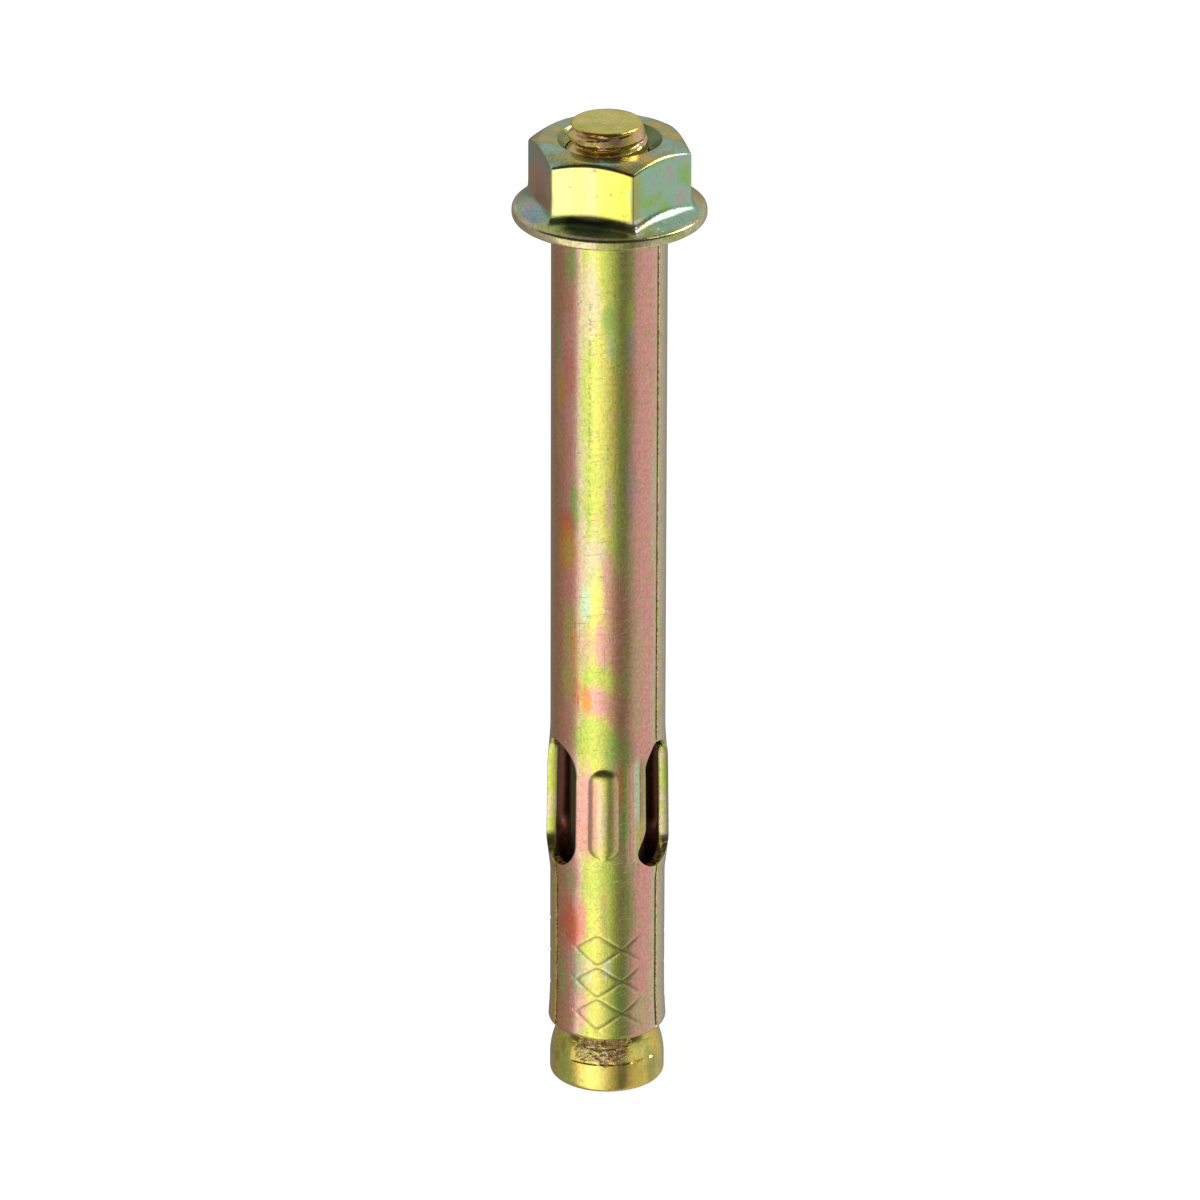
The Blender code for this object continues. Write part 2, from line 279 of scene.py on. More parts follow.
# place on the object in millimetres, distance from the axis, and degrees round it, 0 at the front
def places(tree):
    start = Wire(tree)
    coordinates = start.node("ShaderNodeTexCoord", None, None, "Object")
    spot = coordinates.vector("MULTIPLY", coordinates, (1 / mm, 1 / mm, 1 / mm))
    x, y, z = spot.parts()
    away = (x * x + y * y).of("SQRT")
    return spot, z, away, x.of("ARCTAN2", 0 - y) * (180 / pi)


def noise(spot, scale, detail=3.0, stretch=(1, 1, 1), roughness=0.55, seed=0.0):
    stretched = spot.vector("MULTIPLY_ADD", spot, stretch, (seed, seed * 0.7, seed * 1.3))
    sockets = {"Vector": stretched, "Scale": scale, "Detail": detail, "Roughness": roughness}
    return stretched.node("ShaderNodeTexNoise", None, sockets, "Fac")


def mixColours(factor, first, second):
    mixed = factor.node("ShaderNodeMix", {"data_type": "RGBA"}, {"Factor": factor}, 2)
    for slot, value in ((6, first), (7, second)):
        entry = mixed.socket.node.inputs[slot]
        if isinstance(value, Wire):
            mixed.tree.links.new(value.socket, entry)
        else:
            entry.default_value = (*value, 1)
    return mixed


def finishZinc(tree, shader, spot, colour, roughness, height):
    tree.links.new(colour.socket, shader.inputs["Base Color"])
    tree.links.new(roughness.socket, shader.inputs["Roughness"])
    shader.inputs["Metallic"].default_value = 1.0
    bump = height.node("ShaderNodeBump", None, {"Strength": 0.4, "Distance": 0.02 * mm, "Height": height})
    tree.links.new(bump.socket, shader.inputs["Normal"])


# soft-edged patches of tint, each with its middle in degrees and millimetres
def addPatches(colour, patches, spot, z, around, seed):
    ragged = (noise(spot, 0.6, 5.0, (1, 1, 0.6), seed=seed) - 0.5) * 1.5
    for tint, angle, height, wide, tall, strength in patches:
        aside = (around - angle) / wide
        above = (z - height) / tall
        away = (aside * aside + above * above).of("SQRT") + ragged
        colour = mixColours((1 - away.eased(0.45, 1.3)) * strength, colour, tints[tint])
    return colour


sleevePatches = [
    # upper half, from the nut down
    ("green", -40, 62.4, 9, 2.4, 0.7), ("cream", -17, 60.0, 11, 3.6, 0.9), ("lime", 0, 62.6, 10, 2.4, 0.7),
    ("green", 2, 58.6, 7, 1.4, 0.8), ("teal", 5, 56.8, 6, 1.1, 0.4), ("olive", 21, 61.6, 8, 3.4, 0.8),
    ("lime", 22, 58.8, 5, 1.6, 0.8), ("orchid", 24, 56.6, 6, 1.6, 0.5), ("coral", 24, 53.6, 8, 2.2, 0.5),
    ("rose", -44, 54.5, 12, 4.5, 0.8), ("red", -42, 54.4, 9, 2.4, 0.4), ("green", -59, 56.0, 6, 1.8, 0.6),
    ("gold", -57, 53.2, 9, 2.0, 0.9), ("orange", -50, 52.8, 4, 1.4, 0.7), ("gold", -57, 49.4, 7, 1.8, 0.6),
    ("yellow", -7, 52.5, 9, 5.0, 0.8), ("amber", 7, 50.8, 4, 4.4, 0.8), ("coral", -44, 47.8, 12, 2.6, 0.5),
    ("green", -34, 44.6, 6, 2.4, 0.8), ("peach", 3, 44.4, 5, 2.2, 0.7), ("orchid", 26, 46.0, 6, 2.4, 0.5),
    ("red", -44, 42.8, 13, 1.2, 0.8), ("orange", -42, 41.2, 13, 1.9, 1.0), ("gold", -40, 41.0, 8, 1.2, 0.7),
    ("cream", -10, 40.6, 14, 2.6, 0.9), ("rose", 3, 38.6, 8, 3.2, 0.8), ("straw", -9, 37.2, 7, 3.0, 0.9),
    ("mint", -21, 37.3, 6, 1.5, 0.9), ("mauve", 13, 35.4, 11, 5.2, 0.9), ("coral", -46, 37.8, 12, 1.6, 0.7),
    ("gold", -41, 35.2, 10, 2.2, 0.9), ("orange", -33, 33.4, 5, 2.6, 0.6), ("gold", -39, 31.2, 11, 2.0, 0.9),
    ("red", -30, 30.2, 6, 1.6, 0.7), ("rose", -4, 34.2, 10, 2.0, 0.9), ("peach", -22, 33.6, 9, 2.2, 0.8),
    ("lime", -12, 31.9, 16, 1.0, 0.9), ("rose", -10, 30.0, 17, 1.3, 1.0), ("red", -21, 30.4, 6, 0.9, 0.6),
    ("orange", -20, 29.7, 6, 0.9, 0.9), ("mauve", 12, 29.4, 11, 2.0, 0.8), ("coral", -38, 28.2, 8, 1.6, 0.6),
    ("peach", 26, 41.0, 8, 4.0, 0.4), ("tan", 33, 33.0, 5, 4.4, 0.7), ("tan", 33, 28.6, 6, 2.0, 0.7),
    # round the windows and the rib
    ("lime", -16, 27.2, 19, 1.9, 1.0), ("green", 6, 26.4, 8, 1.8, 0.6), ("rose", -20, 21.4, 11, 4.2, 1.0),
    ("rose", -8, 21.5, 8, 3.4, 0.7), ("cream", -3, 21.6, 4, 3.0, 0.7), ("rose", 11, 22.0, 5, 4.0, 0.7),
    ("orange", 15, 23.4, 4, 1.8, 0.5), ("green", 18, 20.4, 5, 1.8, 0.7), ("peach", 20, 18.2, 6, 1.6, 0.7),
    ("copper", -17, 19.4, 3, 2.0, 0.5), ("tan", 6, 21.6, 5, 3.0, 0.6),
    # below the windows
    ("linen", 66, 10.0, 5, 5.0, 0.5),
    ("lime", -4, 16.4, 14, 1.8, 0.9), ("gold", -2, 13.6, 4, 2.6, 0.6), ("rose", -30, 15.0, 7, 4.0, 0.6),
    ("coral", -27, 12.9, 9, 1.5, 0.9), ("red", -41, 12.9, 12, 2.0, 0.9), ("green", -38, 16.4, 6, 1.4, 0.5),
    ("gold", 14, 14.0, 4, 3.2, 0.8), ("olive", 19, 14.6, 7, 2.8, 0.6), ("cream", -18, 9.4, 8, 1.2, 0.6),
    ("sage", -28, 9.0, 8, 1.8, 0.6), ("rose", -24, 6.0, 8, 1.9, 0.8), ("mint", 2, 9.8, 5, 0.9, 0.6),
    ("green", -50, 8.6, 8, 2.0, 0.5), ("tan", 36, 6.0, 14, 1.6, 0.8), ("green", 14, 7.4, 5, 2.4, 0.5),
    # the far side
    ("lime", 150, 50.0, 26, 7.0, 0.8), ("rose", -140, 38.0, 24, 6.0, 0.8), ("orange", 118, 33.0, 16, 4.0, 0.7),
    ("teal", -120, 56.0, 20, 5.0, 0.7), ("lime", 178, 22.0, 20, 5.0, 0.8), ("rose", 120, 12.0, 16, 4.0, 0.8),
]


# separate round spots, such as pits and grains
def dots(spot, scale, size, stretch=(1, 1, 1), seed=0.0):
    place = spot.vector("MULTIPLY_ADD", spot, stretch, (seed, seed * 0.7, seed * 1.3))
    cells = place.node("ShaderNodeTexVoronoi", None, {"Vector": place, "Scale": scale}, "Distance")
    return 1 - cells.eased(size * 0.6, size)


# the fine light and dark grain of the coat
def dusted(colour, spot, strength, seed):
    dust = noise(spot, 6.0, 3.0, (1, 1, 0.7), seed=seed)
    light = 1 + (dust - 0.5) * strength
    return colour.scaled(light)


def sleeveZinc():
    material, tree, shader = newMaterial("yellow_zinc_sleeve")
    spot, z, away, around = places(tree)
    broad = noise(spot, 0.20, 3.0, (1, 1, 0.4), seed=11.0)
    medium = noise(spot, 0.9, 4.0, (1, 1, 0.5), seed=4.0)
    wander = (broad - 0.5) * 26 + (medium - 0.5) * 16
    share = (around + wander) / 360 + 0.5
    stops = [
        (0.00, tints["olive"]), (0.08, tints["rose"]), (0.16, tints["lime"]), (0.24, tints["copper"]),
        (0.33, tints["copper"]), (0.375, tints["mauve"]), (0.40, tints["rose"]), (0.42, tints["cream"]),
        (0.44, tints["lime"]), (0.49, tints["yellow"]), (0.525, tints["lime"]), (0.555, tints["olive"]),
        (0.585, tints["rose"]), (0.63, tints["rose"]), (0.65, tints["linen"]), (0.72, tints["linen"]),
        (0.80, tints["green"]), (0.90, tints["rose"]), (1.00, tints["olive"]),
    ]
    colour = share.node("ShaderNodeValToRGB", {"stops": stops}, {"Fac": share})
    colour = addPatches(colour, sleevePatches, spot, z, around, 41.0)
    # the front strip's margin, bent in beside the seam window; its tints are painted light and shade across the
    # bend: bronze at the fold and at the far edge as painted shade, mint between as a painted highlight
    margin = z.between(17.4, 18.4, 24.6, 26.0)
    bent = around.between(22.5, 24.0, 45.0, 50.0) * margin
    bentStops = [(0.0, tints["bronze"]), (0.07, tints["rose"]), (0.22, tints["rose"]), (0.28, tints["mint"]),
                 (0.54, tints["mint"]), (0.60, tints["bronze"]), (1.0, tints["olive"])]
    place = around.ramped(23, 45)
    bendLightAndShade = place.node("ShaderNodeValToRGB", {"stops": bentStops}, {"Fac": place})
    colour = mixColours(bent * 0.9, colour, bendLightAndShade)
    colour = mixColours(bent * place.eased(0.2, 0.4) * (1 - z.eased(20.2, 21.4)) * 0.8, colour, tints["gold"])
    # painted highlight: an amber band beside the left slit, below the windows
    beside = around.between(-80, -72, -61.5, -59.5) * (1 - z.eased(15.6, 16.4))
    colour = mixColours(beside * 0.8, colour, tints["amber"])
    mottle = noise(spot, 1.3, 5.0, (1, 1, 0.7), seed=52.0)
    colour = mixColours(mottle.eased(0.56, 0.72) * 0.40, colour, tints["rose"])
    colour = mixColours(mottle.eased(0.44, 0.30) * 0.40, colour, tints["green"])
    speckle = noise(spot, 4.6, 4.0, (1, 1, 0.8), seed=57.0)
    colour = mixColours(speckle.eased(0.56, 0.70) * 0.35, colour, tints["cream"])
    colour = mixColours(speckle.eased(0.44, 0.30) * 0.35, colour, tints["olive"])
    # cut edges, lightened to cream and lime as a painted highlight, with dark dashes along the slits and the
    # seam, and the bore, darkened to oxblood as painted shade
    depth = spot.node("ShaderNodeAttribute", {"attribute_name": "depth"}, None, "Fac")
    cut = (depth * 14).least((1 - depth) * 14).most(0).least(1)
    edgeHighlight = mixColours(medium.eased(0.42, 0.58), tints["cream"], tints["lime"])
    slitOrSeam = 1 - z.between(16.4, 16.9, 26.3, 26.8)
    edgeHighlight = mixColours(speckle.eased(0.49, 0.56) * slitOrSeam, edgeHighlight, tints["oxblood"])
    colour = mixColours(cut * 0.85, colour, edgeHighlight)
    colour = mixColours(depth.eased(0.94, 0.99), colour, tints["oxblood"])
    # painted shade: the knurl's grooves darkened towards bronze
    groove = spot.node("ShaderNodeAttribute", {"attribute_name": "groove"}, None, "Fac")
    colour = mixColours(groove.eased(0.2, 0.9) * 0.8, colour, tints["bronze"])
    colour = dusted(colour, spot, 0.8, 63.0)
    # a chain of pits down the front, dark specks and short slanting scratches
    line = 1 - ((around + 17.5) / 2.4).positive().eased(0.3, 1.0)
    inLine = line * z.between(42, 44, 59, 61)
    clusters = noise(spot, 0.5, 3.0, seed=33.0).eased(0.58, 0.68) * 0.7
    pitted = (dots(spot, 2.4, 0.32, seed=31.0) * clusters).most(dots(spot, 3.0, 0.55, seed=35.0) * inLine)
    colour = mixColours(pitted * 0.45, colour, tints["moss"])
    specks = noise(spot, 7.0, 4.0, seed=37.0).eased(0.62, 0.74)
    colour = mixColours(specks * 0.5, colour, tints["brown"])
    acrossX, acrossY, upward = spot.parts()
    slanted = spot.node("ShaderNodeCombineXYZ", None, {
        0: acrossX * 0.6, 1: acrossY * 0.6, 2: (upward - acrossX * 0.25) * 7})
    scratches = slanted.node("ShaderNodeTexNoise", None, {"Vector": slanted, "Scale": 1.4, "Detail": 2.0}, "Fac")
    onRight = around.between(14, 20, 36, 40)
    bundled = noise(spot, 0.25, 2.0, seed=44.0).eased(0.45, 0.6)
    ticks = scratches.eased(0.68, 0.72).most(scratches.eased(0.62, 0.68) * onRight * bundled)
    streaks = noise(spot, 1.0, 2.0, (6.0, 6.0, 0.25), seed=19.0).eased(0.60, 0.75)
    colour = mixColours(ticks * 0.6, colour, tints["cream"])
    colour = mixColours(streaks * 0.15, colour, tints["moss"])
    grain = noise(spot, 11.0, 3.0, seed=3.0)
    roughness = 0.13 + noise(spot, 2.0, 4.0, seed=5.0) * 0.08 + grain * 0.06 + depth.eased(0.9, 1.0) * 0.25
    height = grain * 0.8 - pitted * 1.2 - ticks * 1.5 - streaks * 0.4
    finishZinc(tree, shader, spot, colour, roughness, height)
    return material


studPatches = [
    ("lime", -52, 3.2, 12, 2.4, 0.5), ("amber", -14, 1.2, 26, 1.2, 0.9), ("olive", 62, 1.4, 8, 1.2, 0.6),
    ("straw", 42, 3.4, 18, 1.5, 1.0), ("amber", 30, 1.4, 16, 1.0, 0.8), ("straw", -12, 1.4, 16, 1.2, 0.8),
    ("bronze", 18, 1.2, 5, 1.6, 0.6), ("moss", 54, 1.2, 8, 1.6, 0.5), ("green", -44, 1.6, 8, 1.4, 0.5),
    ("bronze", -52, 3.0, 5, 0.6, 0.5), ("bronze", -60, 2.0, 5, 0.4, 0.5),
]


def studZinc():
    material, tree, shader = newMaterial("yellow_zinc_stud")
    spot, z, away, around = places(tree)
    drift = noise(spot, 0.6, 4.0, seed=2.0)
    stops = [(0.30, tints["olive"]), (0.42, tints["amber"]), (0.58, tints["amber"]), (0.72, tints["straw"])]
    colour = drift.node("ShaderNodeValToRGB", {"stops": stops}, {"Fac": drift})
    colour = addPatches(colour, studPatches, spot, z, around, 8.0)
    # painted shade: the shank inside the sleeve is darkened to near black; the thread is redder in its grooves
    inThread = z.eased(40.5, 42.0)
    shank = z.eased(5.6, 7.0) * (1 - inThread)
    colour = mixColours(shank, colour, tints["shade_black"])
    grooves = inThread * (1 - away.eased(2.5, 2.92)) * (1 - z.eased(71.2, 71.6))
    colour = mixColours(grooves * drift.eased(0.35, 0.55), colour, tints["peach"])
    topTint = mixColours(drift.eased(0.4, 0.6), tints["lime"], tints["straw"])
    colour = mixColours(z.eased(71.6, 71.69) * 0.7, colour, topTint)
    # a torn, grainy patch on the cone
    aside = (around + 3) / 31
    above = (z - 3.4) / 1.4
    ragged = noise(spot, 1.6, 4.0, seed=71.0) - 0.5
    torn = 1 - ((aside * aside + (above * above).of("POWER", 2.0)) + ragged * 2.4).eased(0.35, 1.1)
    colour = mixColours(torn * 0.7, colour, tints["copper"])
    crumbs = noise(spot, 3.6, 4.0, seed=61.0)
    colour = mixColours(torn * crumbs.eased(0.49, 0.38), colour, tints["bronze"])
    colour = mixColours(torn * crumbs.eased(0.50, 0.58) * 0.9, colour, tints["cream"])
    colour = mixColours(drift.eased(0.54, 0.68) * (1 - inThread) * (1 - shank) * 0.4, colour, tints["green"])
    colour = dusted(colour, spot, 0.9, 67.0)
    grain = noise(spot, 10.0, 3.0, seed=3.0)
    roughness = 0.15 + grain * 0.08 + torn * 0.12 + shank * 0.3
    finishZinc(tree, shader, spot, colour, roughness, grain * 0.8 + torn * crumbs * 16)
    return material


# the pale and ivory patches on the front face are a painted highlight
nutPatches = [
    ("olive", 21, 67.8, 4, 2.4, 0.8), ("pale", -30, 68.2, 9, 2.8, 0.7), ("ivory", -13, 68.4, 7, 3.0, 0.25),
    ("umber", -66, 66.6, 16, 1.8, 0.8), ("sage", -88, 69.4, 20, 1.2, 0.9), ("olive", -46, 68.4, 5, 3.0, 0.6),
    ("sage", -58, 69.8, 16, 0.9, 0.9),
]
# the pine patch under the front face is a painted dark reflection of that face, the ivory patch on the right a
# painted highlight
flangePatches = [
    ("slate", -60, 65.8, 18, 0.5, 0.9), ("lime", -44, 65.5, 8, 0.4, 0.8), ("pine", -11, 66.1, 26, 0.7, 1.0),
    ("ivory", 21, 66.1, 5, 0.9, 1.0), ("green", 27, 65.5, 6, 0.4, 0.7), ("orchid", -74, 66.0, 8, 0.3, 0.5),
]


def nutZinc():
    material, tree, shader = newMaterial("yellow_zinc_nut")
    spot, z, away, around = places(tree)
    drift = around / 360 + 0.5
    wander = noise(spot, 0.5, 4.0, seed=9.0)
    share = drift + (wander - 0.5) * 0.05
    # round the hexagon: the pale, straw and canary stops across the front face are a painted highlight
    stops = [
        (0.0, tints["teal"]), (0.2, tints["olive"]), (0.25, tints["copper"]), (0.375, tints["mauve"]),
        (0.39, tints["pale"]), (0.47, tints["straw"]), (0.545, tints["canary"]), (0.56, tints["teal"]),
        (0.75, tints["teal"]),
        (0.85, tints["teal"]), (1.0, tints["teal"]),
    ]
    colour = share.node("ShaderNodeValToRGB", {"stops": stops}, {"Fac": share})
    cloud = noise(spot, 0.5, 1.5, seed=21.0)
    onRight = around.eased(17, 24)
    colour = mixColours(cloud.eased(0.48, 0.72) * onRight * 0.5, colour, tints["orchid"])
    colour = mixColours(cloud.eased(0.52, 0.30) * onRight * 0.8, colour, tints["green"])
    colour = addPatches(colour, nutPatches, spot, z, around, 33.0)
    # the top, the flange and its rim
    topStops = [(0.34, tints["gold"]), (0.44, tints["olive"]), (0.54, tints["sage"]), (0.64, tints["teal"])]
    topTint = cloud.node("ShaderNodeValToRGB", {"stops": topStops}, {"Fac": cloud + (wander - 0.5) * 0.4})
    chamfer = z + (away - 4.75).most(0) * 0.58
    colour = mixColours(chamfer.eased(70.28, 70.38), colour, topTint)
    flangeStops = [
        (0.0, tints["teal"]), (0.25, tints["sage"]), (0.31, tints["teal"]), (0.36, tints["teal"]),
        (0.42, tints["lime"]), (0.46, tints["olive"]), (0.53, tints["olive"]), (0.565, tints["pale"]),
        (0.60, tints["teal"]), (0.72, tints["teal"]), (0.78, tints["gold"]), (1.0, tints["teal"]),
    ]
    flangeTint = share.node("ShaderNodeValToRGB", {"stops": flangeStops}, {"Fac": share})
    flangeTint = addPatches(flangeTint, flangePatches, spot, z, around, 35.0)
    onFlange = (away - 5.0).eased(0.1, 0.3) * (1 - z.eased(66.4, 66.7))
    colour = mixColours(onFlange, colour, flangeTint)
    rim = away.eased(6.3, 6.5)
    colour = mixColours(rim * 0.85, colour, mixColours(wander.eased(0.42, 0.56), tints["olive"], tints["cream"]))
    # painted shade: the countersink darkened to moss, more towards the right
    sink = (1 - away.eased(3.55, 3.65)) * z.eased(69.6, 69.9)
    colour = mixColours(sink * (0.55 + around.eased(-60, 60) * 0.45), colour, tints["moss"])
    colour = dusted(colour, spot, 0.25 + chamfer.eased(70.28, 70.38).most(onFlange) * 0.9, 69.0)
    marks = noise(spot, 2.6, 4.0, seed=81.0)
    colour = mixColours(marks.eased(0.66, 0.72) * 0.6, colour, tints["bronze"])
    grain = noise(spot, 10.0, 3.0, seed=3.0)
    roughness = 0.14 + grain * 0.08 + noise(spot, 2.0, 4.0, seed=8.0) * 0.06
    finishZinc(tree, shader, spot, colour, roughness, grain * 0.8 - marks.eased(0.66, 0.72) * 1.5)
    return material


# Sleeve: a flat blank with windows and slits, rolled round the stud
sleeve = {
    "radius": 4.0,
    "wall": 0.75,
    "strips": 3,
    "edgeRound": 0.10,
    "seamGap": 0.2,
    "slitWidth": 0.24,
    "windowFoot": 16.9,
    "windowLength": 9.3,
    "windowHalf": 2.08,
    "frameHalf": 3.12,  # half width of the meshed frame round each window
    "frameReach": 0.95,
    "frameRings": 9,
    "frameColumns": 30,
    "frameRows": 74,
    "bandColumns": 22,
    "kneeDepth": 0.28,
    "crestDepth": 0.215,
    "bowFoot": 15.8,
    "bowKnee": 18.1,
    "bowCrest": 23.2,
    "bowTail": 27.0,
    "flareDepth": 0.11,
    "flareLength": 3.0,
    "lipRound": 0.45,
    "lipInside": 3.44,
    "lipInsideTop": 7.5,
    "lipShare": 0.58,  # how much narrower the seam window is beside the dented margin
    "lipStart": 0.9,
    "lipLength": 2.2,
    "dentStart": 1.42,
    "dentWidth": 1.65,
    "dentDepth": 0.36,
    "dentRise": 1.6,
    "dentFall": 1.8,
    "dentEnd": 0.2,
    "dentCurl": 0.2,
}
ribs = {"Length": 6.8, "Width": 1.93, "Height": 0.3, "Foot": 18.15, "Round": 0.4, "Shift": -0.14}
knurl = {
    "Width": 3.42, "Rise": 2.45, "Line": 0.15, "Depth": 0.06,
    "Foot": 4.75, "Head": 12.6, "Reach": 3.1, "Shift": 1.19, "Lift": 8.60, "Round": 0.07,
}
sleeveFoot = sleeveLow.z / mm
sleeveHead = sleeveHigh.z / mm
stripPitch = 2 * pi * sleeve["radius"] / sleeve["strips"]


# outline of half a window from its slit up to its top, in steps that match the frame round it
def windowHalf(topGap, share):
    half, foot = sleeve["windowHalf"], sleeve["windowFoot"]
    head = foot + sleeve["windowLength"]
    first = -pi / 2 + np.arcsin(sleeve["slitWidth"] / 2 / half)
    last = pi / 2 - np.arcsin(topGap / 2 / half)
    columns, rows = sleeve["frameColumns"], sleeve["frameRows"]
    bottom = [(half * cos(a), foot + half + half * sin(a)) for a in np.linspace(first, -pi / 4, columns + 1)]
    side = []
    straight = head - foot - 2 * half
    length = straight + half * pi / 2
    for s in np.linspace(0, length, rows + 1)[1:]:
        if s < half * pi / 4:
            a = -pi / 4 + s / half
            side.append((half * cos(a), foot + half + half * sin(a)))
        elif s < half * pi / 4 + straight:
            side.append((half, foot + half + s - half * pi / 4))
        else:
            a = (s - half * pi / 4 - straight) / half
            side.append((half * cos(a), head - half + half * sin(a)))
    top = [(half * cos(a), head - half + half * sin(a)) for a in np.linspace(pi / 4, last, columns + 1)[1:]]
    outline = np.array(bottom + side + top)
    narrow = 1 - share * smooth((outline[:, 1] - foot - sleeve["lipStart"]) / sleeve["lipLength"])
    outline[:, 0] = topGap / 2 + (outline[:, 0] - topGap / 2) * narrow
    return outline


def windowFrame(topGap, share):
    inner = windowHalf(topGap, share)
    low = sleeve["windowFoot"] - sleeve["frameReach"]
    high = sleeve["windowFoot"] + sleeve["windowLength"] + sleeve["frameReach"]
    across, columns, rows = sleeve["frameHalf"], sleeve["frameColumns"], sleeve["frameRows"]
    bottom = [(u, low) for u in np.linspace(sleeve["slitWidth"] / 2, across, columns + 1)]
    side = [(across, z) for z in np.linspace(low, high, rows + 1)[1:]]
    top = [(u, high) for u in np.linspace(across, topGap / 2, columns + 1)[1:]]
    outer = np.array(bottom + side + top)
    rings = [inner + (outer - inner) * k / sleeve["frameRings"] for k in range(sleeve["frameRings"] + 1)]
    return np.array(rings)


def addGrid(points, faces, grid):
    rows, columns = grid.shape[:2]
    start = len(points)
    points.extend(grid.reshape(-1, 2).tolist())
    for r in range(rows - 1):
        for c in range(columns - 1):
            a = start + r * columns + c
            faces.append((a, a + 1, a + columns + 1, a + columns))


def flatGrid(across, heights):
    return np.array([[(u, z) for u in across] for z in heights])


# the whole blank as points (along the skin, height), strip by strip; the front strip is the last
def blankPoints():
    points, faces = [], []
    low = sleeve["windowFoot"] - sleeve["frameReach"]
    high = sleeve["windowFoot"] + sleeve["windowLength"] + sleeve["frameReach"]
    lip = sleeveFoot + sleeve["lipRound"] * (1 - np.cos([0, *np.linspace(0.75, pi / 2, 7)]))
    knurled = np.arange(lip[-1], knurl["Head"] + 0.2, 0.105)[1:]
    lower = np.concatenate([lip, knurled, np.linspace(knurled[-1], low, 9)[1:]])
    upper = np.linspace(high, sleeveHead, 22)
    middleHeights = np.linspace(low, high, sleeve["frameRows"] + 1)
    for i in range(1 - sleeve["strips"], 1):
        left, right = (i - 0.5) * stripPitch, (i + 0.5) * stripPitch
        leftSeam = i == 1 - sleeve["strips"]  # the seam lies to the right of the front strip
        rightSeam = i == 0
        leftGap = sleeve["seamGap"] if leftSeam else 0.0
        rightGap = sleeve["seamGap"] if rightSeam else 0.0
        slit = sleeve["slitWidth"]
        leftFrame = windowFrame(leftGap, 0.0)
        rightFrame = windowFrame(rightGap, sleeve["lipShare"] if rightSeam else 0.0)
        leftFrame[:, :, 0] = left + leftFrame[:, :, 0]
        rightFrame[:, :, 0] = right - rightFrame[:, :, 0]
        addGrid(points, faces, leftFrame)
        addGrid(points, faces, rightFrame)
        band = np.linspace(left + sleeve["frameHalf"], right - sleeve["frameHalf"], sleeve["bandColumns"] + 1)
        addGrid(points, faces, flatGrid(band, middleHeights))
        steps = sleeve["frameColumns"] + 1
        for heights, leftEdge, rightEdge in (
            (lower, slit / 2, slit / 2),
            (upper, leftGap / 2, rightGap / 2),
        ):
            first = left + np.linspace(leftEdge, sleeve["frameHalf"], steps)
            last = right - np.linspace(sleeve["frameHalf"], rightEdge, steps)
            across = np.concatenate([first, band[1:-1], last])
            addGrid(points, faces, flatGrid(across, heights))
    return points, faces


def bowAt(z):
    knee, crest = sleeve["kneeDepth"], sleeve["crestDepth"]
    rise = knee * (z - sleeve["bowFoot"]) / (sleeve["bowKnee"] - sleeve["bowFoot"])
    run = knee + (crest - knee) * (z - sleeve["bowKnee"]) / (sleeve["bowCrest"] - sleeve["bowKnee"])
    fall = crest * (1 - smooth((z - sleeve["bowCrest"]) / (sleeve["bowTail"] - sleeve["bowCrest"])))
    bow = np.where(z < sleeve["bowKnee"], np.maximum(rise, 0), np.where(z < sleeve["bowCrest"], run, fall))
    return bow


# radius of the skin (depth 0) and of the bore (depth = wall) at a height
def rolledRadius(u, depth, z):
    flareTop = sleeveFoot + sleeve["lipRound"] + sleeve["flareLength"]
    flare = sleeve["flareDepth"] * np.clip((flareTop - z) / sleeve["flareLength"], 0, 1) ** 2
    low = np.clip(sleeveFoot + sleeve["lipRound"] - z, 0, sleeve["lipRound"])
    lip = sleeve["lipRound"] - np.sqrt(sleeve["lipRound"] ** 2 - low ** 2)
    skin = sleeve["radius"] + bowAt(z) + flare - lip
    bore = sleeve["radius"] - sleeve["wall"]
    opened = np.clip((sleeve["lipInsideTop"] - z) / (sleeve["lipInsideTop"] - sleeveFoot), 0, 1)
    inside = bore + (sleeve["lipInside"] - bore) * opened + bowAt(z)
    dent = np.clip((u - sleeve["dentStart"]) / sleeve["dentWidth"], 0, 1.2)
    foot, head = sleeve["windowFoot"], sleeve["windowFoot"] + sleeve["windowLength"]
    reach = smooth((z - foot) / sleeve["dentRise"]) * smooth((head - sleeve["dentEnd"] - z) / sleeve["dentFall"])
    curl = sleeve["dentCurl"]
    bend = sleeve["dentDepth"] * ((1 - curl) * dent + curl * dent ** 2) * reach
    return skin + (inside - skin) * depth / sleeve["wall"] - bend


